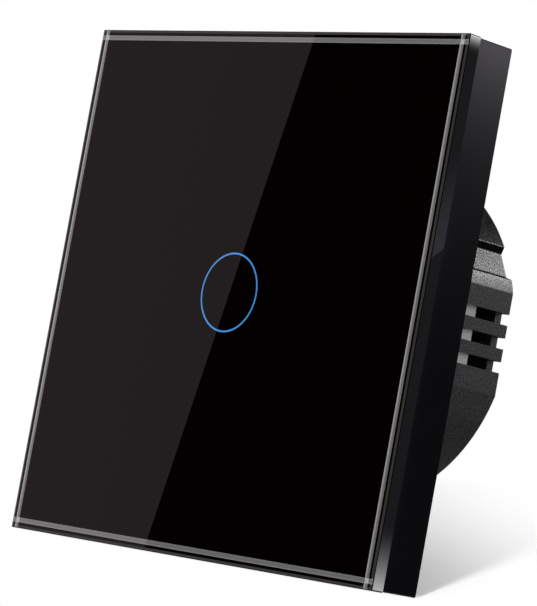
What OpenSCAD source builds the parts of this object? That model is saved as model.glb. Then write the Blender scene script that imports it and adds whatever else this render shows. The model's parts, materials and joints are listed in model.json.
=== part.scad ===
// Touch light switch: a black glass panel on a snap-off cover, a mounting plate
// that is screwed to a wall box, and a round rear housing with relay and terminals.
// X runs to the right as seen from the front, Y runs into the wall and Z runs up.
// The origin lies midway between the two fixing slots, on the wall's surface.

/* [Glass panel] */
// Width of the glass panel
panel_w = 86; // [84:0.5:100]
// Height of the glass panel
panel_h = 86; // [84:0.5:100]
// Thickness of the glass
glass_t = 2.5; // [2:0.1:5]
// Radius of the upright corners of glass and cover
corner_r = 0.3; // [0.2:0.1:0.9]
// Width of the polished bevel along the front edges
bevel_w = 0.5; // [0.3:0.05:0.8]
// Depth of that bevel
bevel_t = 0.12; // [0.1:0.01:0.6]
// Width of the broken edge between that bevel and the panel's side
arris = 0.1; // [0.05:0.05:0.2]
// Distance from the panel's edge to each ground line
line_inset = 1; // [0.9:0.05:3]
// Width of a ground line
line_w = 0.8; // [0.6:0.1:1.5]
// Depth of a ground line
line_t = 0.08; // [0.05:0.01:0.3]
// Mean radius of the glowing ring
ring_r = 6.36; // [5.5:0.02:9]
// Width of the glowing ring
ring_w = 0.5; // [0.3:0.05:0.8]
// Thickness of the black mask film behind the glass
film_t = 0.2; // [0.1:0.05:0.4]
// Thickness of the adhesive tape behind the film
tape_t = 0.3; // [0.1:0.05:0.5]
// Width of the tape's frame
tape_w = 9; // [5:0.5:14]

/* [Front cover] */
// How far the cover's side lies inside the glass edge
cover_inset = 0.15; // [0.1:0.05:0.6]
// Depth of the cover from the wall to the back of the glass
cover_depth = 7.4; // [6.9:0.1:10]
// Thickness of the cover's side walls
cover_wall = 2; // [1.6:0.1:2.6]
// Width of the rim that the glass rests on
seat_w = 1.2; // [0.8:0.1:1.5]
// Thickness of the cover's front face
face_t = 1.2; // [0.9:0.1:1.5]
// Width of the pry notch in the bottom edge
pry_w = 12; // [8:0.5:20]
// Depth of the pry notch
pry_t = 1.2; // [0.8:0.1:2]
// Width of a snap hook
hook_w = 8; // [5:0.5:12]
// Thickness of a snap hook
hook_t = 1.4; // [1:0.1:2]
// Height of the nib on a snap hook
nib_t = 0.6; // [0.4:0.1:0.9]
// Height between the upper and the lower snap hooks
hook_pitch = 44; // [36:1:56]

/* [Mounting plate] */
// Thickness of the mounting plate
plate_t = 1.8; // [1.5:0.1:2.1]
// Gap between the plate's edge and the cover's wall
plate_gap = 0.5; // [0.3:0.1:1]
// Corner radius of the plate
plate_r = 2; // [1:0.5:4]
// Width of the plate's raised rim and ribs
rim_w = 1.4; // [1:0.1:2]
// Distance from the plate's edge to the snap hooks
hook_in = 5; // [4:0.25:6]
// Thickness of the lip that a snap hook catches
lip_t = 0.6; // [0.4:0.1:0.8]
// Distance between the two fixing slots
fix_pitch = 60; // [58:0.5:64]
// Width of a fixing slot
fix_w = 4.2; // [3.6:0.1:5]
// Length of a fixing slot
fix_l = 6.4; // [5:0.1:8]

/* [Touch board] */
// Width of the touch board
touch_w = 44; // [42:0.5:48]
// Height of the touch board
touch_h = 44; // [42:0.5:48]
// Thickness of the touch board
touch_t = 1; // [0.8:0.1:1.2]
// Room for parts between the touch board and the cover's face
part_room = 1.1; // [1:0.05:1.4]
// Wire diameter of the touch spring
spring_wire = 0.5; // [0.4:0.05:0.6]
// Mean radius of the touch spring
spring_r = 4; // [3:0.1:4.6]
// Wall of the light guide
guide_w = 1.2; // [0.9:0.1:1.4]
// Wall of the light shroud
shroud_w = 1; // [0.8:0.1:1.5]
// Height of the plug between the boards above the centre
header_z = 13; // [12:0.25:14]
// Pins in each row of the plug between the boards
header_pins = 4; // [2:1:4]

/* [Rear housing] */
// Radius of the rear housing
housing_r = 28.3; // [28:0.1:30]
// Depth of the rear housing behind the wall's surface
housing_d = 27; // [26:0.5:34]
// Thickness of the housing's side wall
housing_wall = 1.6; // [1.3:0.1:1.8]
// Thickness of the housing's floor
floor_t = 1.5; // [1.2:0.1:2.5]
// How far the two side flats lie inside the round outline
flat_in = 1.3; // [0.8:0.1:1.6]
// How far the bottom flat lies inside the round outline
bottom_in = 3.3; // [2.8:0.1:3.8]
// Width of a vent slot
vent_w = 1.8; // [1.4:0.1:2.2]
// Distance between the middles of the vent slots
vent_pitch = 3.9; // [3:0.1:4.4]
// Height of the middle vent slot above the centre
vent_z = 0.17; // [-1:0.01:1]
// Where the vent slots begin behind the wall's surface
vent_start = 9; // [7:0.5:14]
// Angle of the keying groove above the horizontal
groove_angle = 28.3; // [27:0.1:30]
// Width of the keying groove at its mouth
groove_mouth = 6.3; // [5.5:0.1:6.6]
// Width of the keying groove at its floor
groove_floor = 4.2; // [3:0.1:5]
// Depth of the keying groove
groove_t = 1.15; // [0.6:0.05:1.2]
// Radius of a boss for the plate's screws
boss_r = 2.6; // [2.2:0.1:2.8]
// Radius of a post under the power board
post_r = 2.2; // [1.8:0.1:2.4]

/* [Power board] */
// Distance from the wall's surface to the power board
board_y = 5; // [4.6:0.1:6]
// Thickness of the power board
board_t = 1.6; // [1:0.1:2]
// Width of the relay
relay_w = 10.2; // [9:0.1:11]
// Length of the relay
relay_l = 18.4; // [16:0.1:19]
// Height of the relay
relay_h = 15.3; // [12:0.1:17]
// Gap between the relay and the housing's side wall
relay_gap = 1.4; // [1:0.1:2]
// Width of the film capacitor
film_cap_w = 8.5; // [6:0.1:9]
// Length of the film capacitor
film_cap_l = 18; // [14:0.1:19]
// Height of the film capacitor
film_cap_h = 14; // [10:0.1:16]

/* [Terminals] */
// Width of one terminal pole
pole_w = 8.1; // [7.8:0.05:8.3]
// Length of a terminal pole, along the wire
pole_l = 11.5; // [11:0.1:12.5]
// Radius of a wire entry
wire_r = 2; // [1.6:0.05:2.2]
// Length of a wire entry's round wall
entry_l = 3; // [2.4:0.1:3.4]
// Gap for the wire under the tab with the clamp open
clamp_open = 3.6; // [3.2:0.1:4.2]
// How far a clamp rises when its screw is turned home
clamp_travel = 2.8; // [2:0.1:3]
// Width of a clamp
cage_w = 6; // [5.6:0.1:6.2]
// Length of a clamp
cage_l = 6; // [5:0.1:6.4]
// Wall of a clamp
cage_wall = 1; // [0.8:0.05:1.1]
// Thickness of a clamp's threaded side
cage_top = 2; // [1.5:0.1:3]
// Width of a fixed tab
tab_w = 3.4; // [2.4:0.1:3.4]
// Thickness of a fixed tab
tab_t = 1; // [0.6:0.1:1.2]
// Radius of a terminal screw's shank
screw_r = 1.5; // [1.25:0.05:1.6]
// Radius of a terminal screw's head
screw_head_r = 2.6; // [2.2:0.05:2.7]
// Thickness of a terminal screw's head
screw_head_t = 2; // [1.6:0.1:2.4]

/* [Hidden] */
$fn = 64;

// Overshoot of a cut, gap between fitted pieces, gap beside moving pieces
eps = 0.1;
fit = 0.2;
run = 0.3;
turn_fit = 0.1;

// Stack of the front panel, from the glass back to the cover's face
glass_back = -cover_depth;
glass_front = glass_back - glass_t;
film_back = glass_back + film_t;
tape_back = film_back + tape_t;
face_back = tape_back + face_t;

// Outlines that follow the panel
cover_w = panel_w - 2 * cover_inset;
cover_h = panel_h - 2 * cover_inset;
pocket_w = cover_w - 2 * seat_w;
pocket_h = cover_h - 2 * seat_w;
hollow_w = cover_w - 2 * cover_wall;
hollow_h = cover_h - 2 * cover_wall;
plate_w = hollow_w - 2 * plate_gap;
plate_h = hollow_h - 2 * plate_gap;

// Touch board and what stands on it
touch_front = face_back + part_room;
touch_back = touch_front + touch_t;
touch_screw_in = 3.5;
touch_screw_x = touch_w / 2 - touch_screw_in;
touch_head_t = part_room - run;
touch_shank_r = 0.8;
touch_shank_l = 3;
touch_boss_r = 2.4;
pad_w = 3;
guide_front = film_back + run;
guide_in = ring_r - guide_w / 2;
guide_out = ring_r + guide_w / 2;
shroud_in = guide_out + fit;
shroud_out = shroud_in + shroud_w;
light_hole_gap = 0.5;
light_hole_r = shroud_out + light_hole_gap;
led_l = 1.6;
led_w = 0.8;
led_t = 0.6;
led_count = 4;

// Touch spring: as many turns as leave a clear gap between them
spring_h = touch_front - film_back - fit;
spring_clear = 0.43;
spring_turns = floor((spring_h - spring_wire) / (spring_wire + spring_clear));
spring_steps = 24;
spring_sides = 8;

// Plug and socket between the two boards
pin_pitch = 2.54;
pin_w = 0.64;
plug_w = header_pins * pin_pitch;
plug_h = 2 * pin_pitch;
plug_t = 2.5;
socket_t = board_y;
socket_wall = 0.25;
pin_end = 2.6;
pin_room = 1;
chip_l = 4.9;
chip_w = 3.9;
chip_t = 1.2;
chip_gap = 4;
chip_z = header_z - plug_h / 2 - chip_gap;
chip_lead_l = 1;
chip_lead_w = 0.4;
chip_lead_t = 0.2;
window_gap = 1;

// Ribs beside the fixing slots
rib_gap = 2.5;
rib_start = 1;

// Snap hooks
hook_x = plate_w / 2 - hook_in;
hook_end = -0.3;
nib_gap = 0.15;
nib_y = lip_t - plate_t + nib_gap;
nib_room = 0.8;

// Rear housing
housing_in = housing_r - housing_wall;
flat_x = housing_r - flat_in;
bottom_z = housing_r - bottom_in;
floor_y = housing_d - floor_t;
boss_bite = 0.9;
boss_ring = housing_in - boss_r + boss_bite;
boss_angles = [45, 135, 225, 315];
post_web = 1.9;
post_ring = housing_in - post_r - post_web;
long_side = max(relay_l, film_cap_l) / 2;
post_gap = 0.8;
post_low_z = -(long_side + post_gap + post_r);
post_low_x = sqrt(post_ring * post_ring - post_low_z * post_low_z);
posts = [[0, post_ring], [post_low_x, post_low_z], [-post_low_x, post_low_z]];
web_w = 1.2;
vent_count = 3;

// Screws of plate and power board
plate_screw_r = 1;
plate_head_r = 2.4;
plate_head_t = 1.2;
plate_screw_l = 10;
board_screw_r = 0.95;
board_head_r = 1.9;
board_head_t = 1.2;
board_screw_l = 6;
pilot_fit = 0.05;
pilot_room = 1;

// Power board and its parts
board_back = board_y + board_t;
board_gap = 0.5;
stand = 0.4;
side_x = flat_x - housing_wall - relay_gap;
core_w = 11;
core_l = 5.2;
core_h = 11;
core_leg = 1.3;
bobbin_l = 11;
bobbin_t = 1.5;
winding_r = 3.8;
core_z = 12;
can_sizes = [[-10.6, 14.6, 4, 12], [10.3, 14.2, 3.15, 11]];
can_groove = 0.35;
can_foot = 1.2;
can_groove_w = 0.8;
varistor_x = -8;
varistor_z = -5;
varistor_r = 3.5;
varistor_t = 3.5;
varistor_lift = 1.5;
lead_r = 0.35;
fuse_x = 6.5;
fuse_z = -4.5;
fuse_r = 4.2;
fuse_h = 7.7;
rectifier_x = -11;
rectifier_z = -4;
rectifier_w = 4.8;
rectifier_l = 4;
rectifier_t = 1.4;

// Terminals: the cage rises along Y, the wire enters along Z
pole_pitch = pole_w + fit;
pole_x = [-pole_pitch, 0, pole_pitch];
poles_w = 3 * pole_w + 2 * fit;
pole_low = -bottom_z;
pole_high = pole_low + pole_l;
cavity_low = pole_low + entry_l;
cavity_high = cavity_low + cage_l + 2 * run;
cage_mid = (cavity_low + cavity_high) / 2;
cage_y = board_back + run;
wire_floor = cage_y + cage_wall;
wire_y = wire_floor + clamp_open / 2;
tab_y = wire_floor + clamp_open;
tab_back = tab_y + tab_t;
tip_room = 2.6;
cage_roof = tab_back + tip_room;
cage_back = cage_roof + cage_top;
cavity_back = cage_back + clamp_travel + run;
screw_tip = tab_back + turn_fit;
head_sink = 0.5;
head_y = housing_d - head_sink - screw_head_t;
driver_w = 0.8;
driver_t = 1;

// Rounded rectangle in X and Z
module rounded(w, h, r) {
    square([w - 2 * r, h], center = true);
    square([w, h - 2 * r], center = true);
    for (x = [-1, 1], z = [-1, 1])
        translate([x * (w / 2 - r), z * (h / 2 - r)])
            circle(r);
}

// Flat outline in X and Z, thickened from y0 to y1
module slab(y0, y1) {
    translate([0, y1, 0])
        rotate([90, 0, 0])
            linear_extrude(y1 - y0)
                children();
}

// Flat outline in Y and Z, carried across the full width w
module across(w) {
    translate([-w / 2, 0, 0])
        rotate([90, 0, 90])
            linear_extrude(w)
                children();
}

// Round bar along Y
module rod(x, z, r, y0, y1) {
    translate([x, y1, z])
        rotate([90, 0, 0])
            cylinder(h = y1 - y0, r = r);
}

// Box between two corners
module block(x, y, z) {
    translate([x[0], y[0], z[0]])
        cube([x[1] - x[0], y[1] - y[0], z[1] - z[0]]);
}

// The same piece on the left and on the right
module both_sides() {
    children();
    mirror([1, 0, 0])
        children();
}

// Wedge that takes off a front edge, in Y and Z, for an edge at height half
module bevel_wedge(half) {
    run_y = bevel_t / 2;
    run_z = bevel_w / 2;
    polygon([
        [glass_front - run_y, half - bevel_w - run_z],
        [glass_front + bevel_t + run_y, half + run_z],
        [glass_front - bevel_t, half + bevel_w]
    ]);
}

// Wedge that breaks the edge between a bevel and the side, in Y and Z, for an edge at height half
module arris_wedge(half) {
    bevel_y = glass_front + bevel_t * (1 - arris / bevel_w);
    side_y = glass_front + bevel_t + arris;
    run_y = (side_y - bevel_y) / 2;
    run_z = arris / 2;
    polygon([
        [bevel_y - run_y, half - arris - run_z],
        [side_y + run_y, half + run_z],
        [glass_front, half + arris]
    ]);
}

// Two bevels, their broken edges and two ground lines along one direction of a panel
module edge_cuts(span, half) {
    for (side = [0, 1])
        mirror([0, 0, side]) {
            across(span + bevel_w)
                bevel_wedge(half);
            across(span + bevel_w)
                arris_wedge(half);
            translate([0, 0, half - line_inset - line_w])
                across(span + line_w)
                    translate([glass_front - eps, 0])
                        square([line_t + eps, line_w]);
        }
}

module glass_panel() {
    color([0.03, 0.03, 0.035])
        difference() {
            slab(glass_front, glass_back)
                rounded(panel_w, panel_h, corner_r);
            edge_cuts(panel_w, panel_h / 2);
            rotate([0, 90, 0])
                edge_cuts(panel_h, panel_w / 2);
        }
}

// Black sheet with a ring left clear: a sheet round the ring and a disc inside it
module mask_film() {
    color([0.02, 0.02, 0.02])
        slab(glass_back, film_back) {
            difference() {
                square([pocket_w - 2 * fit, pocket_h - 2 * fit], center = true);
                circle(ring_r + ring_w / 2);
            }
            circle(ring_r - ring_w / 2);
        }
}

module adhesive_tape() {
    color([0.8, 0.8, 0.78])
        slab(film_back, tape_back)
            difference() {
                square([pocket_w - 2 * run, pocket_h - 2 * run], center = true);
                square([pocket_w - 2 * tape_w, pocket_h - 2 * tape_w], center = true);
            }
}

// Hook on the right: an arm with a nib, drawn as bent inwards so that it just clears the lip
module snap_hook(z) {
    translate([0, 0, z - hook_w / 2]) {
        block([hook_x - hook_t, hook_x], [face_back - eps, hook_end], [0, hook_w]);
        linear_extrude(hook_w)
            polygon([[hook_x - eps, nib_y], [hook_x + nib_t, nib_y], [hook_x - eps, hook_end]]);
    }
}

module front_cover() {
    color([0.06, 0.06, 0.065])
        difference() {
            union() {
                difference() {
                    slab(glass_back, 0)
                        rounded(cover_w, cover_h, corner_r);
                    slab(face_back, eps)
                        square([hollow_w, hollow_h], center = true);
                }
                both_sides()
                    for (side = [-1, 1])
                        snap_hook(side * hook_pitch / 2);
            }
            slab(glass_back - eps, tape_back)
                square([pocket_w, pocket_h], center = true);
            rod(0, 0, light_hole_r, tape_back - eps, face_back + eps);
            block([-pry_w / 2, pry_w / 2], [-pry_t, eps],
                [-cover_h / 2 - eps, -hollow_h / 2 + eps]);
        }
}

// Window for one snap hook, with a pocket behind the lip
module hook_window(z) {
    half = hook_w / 2 + run;
    edge = hook_x + nib_t + turn_fit;
    block([hook_x - hook_t - run, edge], [-plate_t - eps, eps], [z - half, z + half]);
    block([hook_x, edge + nib_room], [lip_t - plate_t, eps], [z - half, z + half]);
}

// Slot along X for a fixing screw
module fixing_slot(x) {
    half = (fix_l - fix_w) / 2;
    for (end = [-half, half])
        rod(x + end, 0, fix_w / 2, -plate_t - eps, eps);
    block([x - half, x + half], [-plate_t - eps, eps], [-fix_w / 2, fix_w / 2]);
}

// Countersunk screw along Y, flush with the front of the plate, made larger by gap all round
module plate_screw(angle, gap) {
    neck = plate_screw_r + gap;
    translate([boss_ring * cos(angle), -plate_t, boss_ring * sin(angle)])
        rotate([-90, 0, 0]) {
            cylinder(h = plate_head_t, r1 = plate_head_r + gap, r2 = neck);
            cylinder(h = plate_t + plate_screw_l, r = neck);
        }
}

module mounting_plate() {
    pad_x = touch_w / 2 - pad_w;
    pad_z = touch_h / 2 - pad_w;
    rib_z = fix_w / 2 + rib_gap;
    color([0.09, 0.09, 0.095])
        difference() {
            union() {
                slab(-plate_t, 0)
                    rounded(plate_w, plate_h, plate_r);
                slab(touch_back, -plate_t + eps)
                    difference() {
                        rounded(plate_w, plate_h, plate_r);
                        square([plate_w - 2 * rim_w, plate_h - 2 * rim_w], center = true);
                    }
                both_sides() {
                    for (z = [-pad_z - pad_w, pad_z])
                        block([pad_x, pad_x + pad_w], [touch_back, -plate_t + eps], [z, z + pad_w]);
                    for (z = [-rib_z - rim_w, rib_z])
                        block([touch_w / 2 + rib_start, plate_w / 2 - eps], [touch_back, -plate_t + eps],
                            [z, z + rim_w]);
                    rod(touch_screw_x, 0, touch_boss_r, touch_back, -plate_t + eps);
                }
            }
            both_sides() {
                fixing_slot(fix_pitch / 2);
                rod(touch_screw_x, 0, touch_shank_r + pilot_fit, touch_back - eps,
                    touch_front + touch_shank_l + touch_t);
                for (side = [-1, 1])
                    hook_window(side * hook_pitch / 2);
            }
            for (angle = boss_angles)
                plate_screw(angle, fit);
            block([-plug_w / 2 - window_gap, plug_w / 2 + window_gap], [-plate_t - eps, eps],
                [chip_z - chip_w / 2 - chip_lead_l - window_gap, header_z + plug_h / 2 + window_gap]);
        }
}

module touch_board() {
    color([0.1, 0.35, 0.2])
        difference() {
            slab(touch_front, touch_back)
                rounded(touch_w, touch_h, plate_r);
            both_sides()
                rod(touch_screw_x, 0, touch_shank_r + fit, touch_front - eps, touch_back + eps);
        }
}

module touch_board_screws() {
    color([0.7, 0.7, 0.72])
        both_sides() {
            rod(touch_screw_x, 0, touch_shank_r, touch_front, touch_front + touch_shank_l);
            rod(touch_screw_x, 0, 2 * touch_shank_r, touch_front - touch_head_t, touch_front);
        }
}

// Centre line of the touch spring: a helix that climbs forwards from the board
function spring_point(i) =
    let (angle = 360 * i / spring_steps,
        rise = (spring_h - spring_wire) * i / (spring_turns * spring_steps))
    [spring_r * cos(angle), touch_front - spring_wire / 2 - rise, spring_r * sin(angle)];

// Ring of points round the wire at step i
function spring_ring(i) =
    let (angle = 360 * i / spring_steps, c = spring_point(i))
    [for (k = [0:spring_sides - 1])
        let (a = 360 * k / spring_sides, out = cos(a) * spring_wire / 2, up = sin(a) * spring_wire / 2)
        c + [out * cos(angle), -up, out * sin(angle)]];

spring_rings = spring_turns * spring_steps;
spring_clearance = min([for (i = [0:spring_rings - 18], j = [i + 18:spring_rings])
    norm(spring_point(i) - spring_point(j)) - spring_wire]);

module touch_spring() {
    n = spring_sides;
    points = [for (i = [0:spring_rings]) each spring_ring(i)];
    side_faces = [for (i = [0:spring_rings - 1], k = [0:n - 1])
        let (a = i * n + k, b = i * n + (k + 1) % n)
        each [[a, b, b + n], [a, b + n, a + n]]];
    start_face = [for (k = [0:n - 1]) n - 1 - k];
    end_face = [for (k = [0:n - 1]) spring_rings * n + k];
    echo(touch_spring_least_gap = spring_clearance);
    color([0.75, 0.72, 0.6])
        polyhedron(points, concat(side_faces, [start_face, end_face]));
}

// Clear ring that carries the light to the glass, notched over each LED
module light_guide() {
    color([0.75, 0.85, 0.95])
        difference() {
            rod(0, 0, guide_out, guide_front, touch_front);
            rod(0, 0, guide_in, guide_front - eps, touch_front + eps);
            at_leds()
                block([-guide_w, guide_w], [touch_front - led_t - fit, touch_front + eps],
                    [-led_l / 2 - fit, led_l / 2 + fit]);
        }
}

module at_leds() {
    for (i = [0:led_count - 1])
        rotate([0, 45 + i * 360 / led_count, 0])
            translate([ring_r, 0, 0])
                children();
}

module light_shroud() {
    color([0.05, 0.05, 0.05])
        difference() {
            rod(0, 0, shroud_out, guide_front, touch_front);
            rod(0, 0, shroud_in, guide_front - eps, touch_front + eps);
        }
}

module indicator_leds() {
    color([0.95, 0.9, 0.6])
        at_leds()
            block([-led_w / 2, led_w / 2], [touch_front - led_t, touch_front], [-led_l / 2, led_l / 2]);
}

// Small moulded package with four leads on each long side, on the back of the touch board
module touch_chip() {
    pitch = 1.27;
    color([0.08, 0.08, 0.08])
        translate([0, touch_back, chip_z]) {
            block([-chip_l / 2, chip_l / 2], [chip_lead_t / 2, chip_t], [-chip_w / 2, chip_w / 2]);
            for (i = [-1.5:1.5])
                block([i * pitch - chip_lead_w / 2, i * pitch + chip_lead_w / 2], [0, chip_lead_t],
                    [-chip_w / 2 - chip_lead_l, chip_w / 2 + chip_lead_l]);
        }
}

// Middles of the pins between the boards, in X and Z
module at_pins() {
    for (i = [0:header_pins - 1], row = [-1, 1])
        translate([(i - (header_pins - 1) / 2) * pin_pitch, 0, header_z + row * pin_pitch / 2])
            children();
}

module board_header() {
    color([0.1, 0.1, 0.1]) {
        block([-plug_w / 2, plug_w / 2], [touch_back, touch_back + plug_t],
            [header_z - plug_h / 2, header_z + plug_h / 2]);
        at_pins()
            block([-pin_w / 2, pin_w / 2], [touch_back, pin_end], [-pin_w / 2, pin_w / 2]);
    }
}

module board_socket() {
    hole = pin_w / 2 + fit;
    color([0.1, 0.1, 0.1])
        difference() {
            block([-plug_w / 2 - socket_wall, plug_w / 2 + socket_wall], [board_y - socket_t, board_y],
                [header_z - plug_h / 2 - socket_wall, header_z + plug_h / 2 + socket_wall]);
            at_pins()
                block([-hole, hole], [board_y - socket_t - eps, pin_end + pin_room], [-hole, hole]);
        }
}

// Round outline with two side flats and a bottom flat, drawn in by inset
module housing_outline(inset) {
    half = flat_x - inset;
    low = bottom_z - inset;
    intersection() {
        circle(housing_r - inset);
        translate([-half, -low])
            square([2 * half, low + housing_r]);
    }
}

// Keying groove on the right, along the whole depth
module keying_groove() {
    depth = housing_r - groove_t;
    rotate([0, -groove_angle, 0])
        translate([0, -eps, 0])
            rotate([-90, 0, 0])
                linear_extrude(housing_d + 2 * eps)
                    polygon([
                        [depth, -groove_floor / 2], [housing_r, -groove_mouth / 2],
                        [housing_r + 1, -groove_mouth / 2], [housing_r + 1, groove_mouth / 2],
                        [housing_r, groove_mouth / 2], [depth, groove_floor / 2]
                    ]);
}

// Vent slots through the right flat, open at the rear edge
module side_vents() {
    for (i = [0:vent_count - 1]) {
        z = vent_z + (i - (vent_count - 1) / 2) * vent_pitch;
        block([flat_x - housing_wall - eps, flat_x + eps], [vent_start, housing_d + eps],
            [z - vent_w / 2, z + vent_w / 2]);
    }
}

module rear_housing() {
    window_w = poles_w + 2 * fit;
    color([0.12, 0.12, 0.125])
        difference() {
            union() {
                difference() {
                    slab(0, housing_d)
                        housing_outline(0);
                    slab(-eps, floor_y)
                        housing_outline(housing_wall);
                }
                for (angle = boss_angles)
                    rod(boss_ring * cos(angle), boss_ring * sin(angle), boss_r, 0, floor_y + eps);
                for (post = posts) {
                    rod(post[0], post[1], post_r, board_back, floor_y + eps);
                    rotate([0, -atan2(post[1], post[0]), 0])
                        block([post_ring, housing_in + housing_wall / 2], [board_back, floor_y + eps],
                            [-web_w / 2, web_w / 2]);
                }
            }
            both_sides() {
                keying_groove();
                side_vents();
            }
            for (angle = boss_angles)
                rod(boss_ring * cos(angle), boss_ring * sin(angle), plate_screw_r + pilot_fit,
                    -eps, plate_screw_l + pilot_room);
            for (post = posts)
                rod(post[0], post[1], board_screw_r + pilot_fit, board_back - eps,
                    board_y + board_screw_l + pilot_room);
            block([-window_w / 2, window_w / 2], [board_back - fit, housing_d + eps],
                [-housing_r, pole_high + fit]);
        }
}

module housing_screws() {
    color([0.7, 0.7, 0.72])
        for (angle = boss_angles)
            plate_screw(angle, 0);
}

module power_board() {
    color([0.1, 0.35, 0.2])
        difference() {
            slab(board_y, board_back)
                housing_outline(housing_wall + board_gap);
            for (angle = boss_angles)
                rod(boss_ring * cos(angle), boss_ring * sin(angle), boss_r + board_gap,
                    board_y - eps, board_back + eps);
            for (post = posts)
                rod(post[0], post[1], board_screw_r + fit, board_y - eps, board_back + eps);
        }
}

module power_board_screws() {
    color([0.7, 0.7, 0.72])
        for (post = posts) {
            rod(post[0], post[1], board_screw_r, board_y, board_y + board_screw_l);
            rod(post[0], post[1], board_head_r, board_y - board_head_t, board_y);
        }
}

// Box-shaped part on four feet: w wide from x, l long, h high
module boxed_part(x, w, l, h) {
    foot = 1.5;
    block([x, x + w], [board_back + stand, board_back + stand + h], [-l / 2, l / 2]);
    for (fx = [x, x + w - foot], fz = [-l / 2, l / 2 - foot])
        block([fx, fx + foot], [board_back, board_back + stand], [fz, fz + foot]);
}

module relay() {
    color([0.78, 0.78, 0.78])
        boxed_part(side_x - relay_w, relay_w, relay_l, relay_h);
}

module film_capacitor() {
    color([0.85, 0.7, 0.15])
        boxed_part(-side_x, film_cap_w, film_cap_l, film_cap_h);
}

// Round cans with a rolled groove near the board
module filter_capacitors() {
    color([0.15, 0.15, 0.25])
        for (can = can_sizes) {
            rod(can[0], can[1], can[2], board_back, board_back + can_foot);
            rod(can[0], can[1], can[2] - can_groove, board_back, board_back + can[3]);
            rod(can[0], can[1], can[2], board_back + can_foot + can_groove_w, board_back + can[3]);
        }
}

// Ferrite core round a wound bobbin that stands on the board
module transformer() {
    base = board_back + bobbin_t;
    color([0.2, 0.2, 0.2])
        translate([0, 0, core_z]) {
            block([-core_w / 2, core_w / 2], [board_back, base], [-bobbin_l / 2, bobbin_l / 2]);
            difference() {
                block([-core_w / 2, core_w / 2], [base, base + core_h], [-core_l / 2, core_l / 2]);
                block([core_leg - core_w / 2, core_w / 2 - core_leg],
                    [base + core_leg, base + core_h - core_leg], [-core_l, core_l]);
            }
            rod(0, 0, winding_r, base, base + core_h - core_leg + eps);
        }
}

// Coated disc on two leads
module varistor() {
    mid = board_back + varistor_lift + varistor_r;
    color([0.1, 0.25, 0.6]) {
        translate([varistor_x, mid, varistor_z - varistor_t / 2])
            cylinder(h = varistor_t, r = varistor_r);
        for (side = [-1, 1])
            rod(varistor_x + side * varistor_r * 0.7, varistor_z, lead_r, board_back, mid);
    }
}

module fuse() {
    color([0.35, 0.15, 0.1])
        difference() {
            rod(fuse_x, fuse_z, fuse_r, board_back, board_back + fuse_h);
            block([fuse_x - fuse_r, fuse_x + fuse_r], [board_back - eps, board_back + stand],
                [fuse_z - 0.6, fuse_z + 0.6]);
        }
}

// Small bridge on the front of the power board, with two leads on each side
module rectifier() {
    lead = 0.3;
    color([0.08, 0.08, 0.08])
        translate([rectifier_x, board_y, rectifier_z]) {
            block([-rectifier_w / 2, rectifier_w / 2], [-rectifier_t, -lead / 2],
                [-rectifier_l / 2, rectifier_l / 2]);
            for (x = [-1.25, 1.25])
                block([x - lead, x + lead], [-lead, 0], [-rectifier_l / 2 - 1, rectifier_l / 2 + 1]);
        }
}

// Moulded pole i: a wire entry from below, a cavity for the clamp that opens to the
// board, a slot for the tab and a recess for the screw's head at the rear
module terminal_pole(i) {
    x = pole_x[i];
    slot = tab_w / 2 + turn_fit;
    color([0.1, 0.1, 0.105])
        difference() {
            block([x - pole_w / 2, x + pole_w / 2], [board_back, housing_d], [pole_low, pole_high]);
            block([x - cage_w / 2 - run, x + cage_w / 2 + run], [board_back - eps, cavity_back],
                [cavity_low, cavity_high]);
            translate([x, wire_y, pole_low - eps])
                cylinder(h = entry_l + 2 * eps, r = wire_r);
            block([x - slot, x + slot], [tab_y - turn_fit, tab_back + turn_fit],
                [cavity_high - eps, pole_high + eps]);
            rod(x, cage_mid, screw_r + turn_fit, cavity_back - eps, housing_d);
            rod(x, cage_mid, screw_head_r + run, head_y - turn_fit, housing_d + eps);
        }
}

// Fixed tabs: each runs out of its cage and down to the board behind its pole
module terminal_tabs() {
    color([0.8, 0.65, 0.3])
        for (x = pole_x) {
            block([x - tab_w / 2, x + tab_w / 2], [tab_y, tab_back],
                [cavity_low + 2 * run, pole_high + tab_t]);
            block([x - tab_w / 2, x + tab_w / 2], [board_back, tab_back],
                [pole_high, pole_high + tab_t]);
        }
}

// Rising clamp i: a square brass ring round the tab, threaded on its rear side
module terminal_cage(i) {
    x = pole_x[i];
    half = cage_w / 2;
    color([0.8, 0.65, 0.3])
        difference() {
            block([x - half, x + half], [cage_y, cage_back], [cage_mid - cage_l / 2, cage_mid + cage_l / 2]);
            block([x - half + cage_wall, x + half - cage_wall], [wire_floor, cage_roof],
                [cage_mid - cage_l, cage_mid + cage_l]);
            rod(x, cage_mid, screw_r + pilot_fit, cage_roof - eps, cage_back + eps);
        }
}

// Terminal screw i, with its slotted head at the rear
module terminal_screw(i) {
    x = pole_x[i];
    top = head_y + screw_head_t;
    color([0.75, 0.75, 0.77])
        difference() {
            union() {
                rod(x, cage_mid, screw_r, screw_tip, head_y + eps);
                rod(x, cage_mid, screw_head_r, head_y, top);
            }
            block([x - screw_head_r - eps, x + screw_head_r + eps], [top - driver_t, top + eps],
                [cage_mid - driver_w / 2, cage_mid + driver_w / 2]);
        }
}

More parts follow.
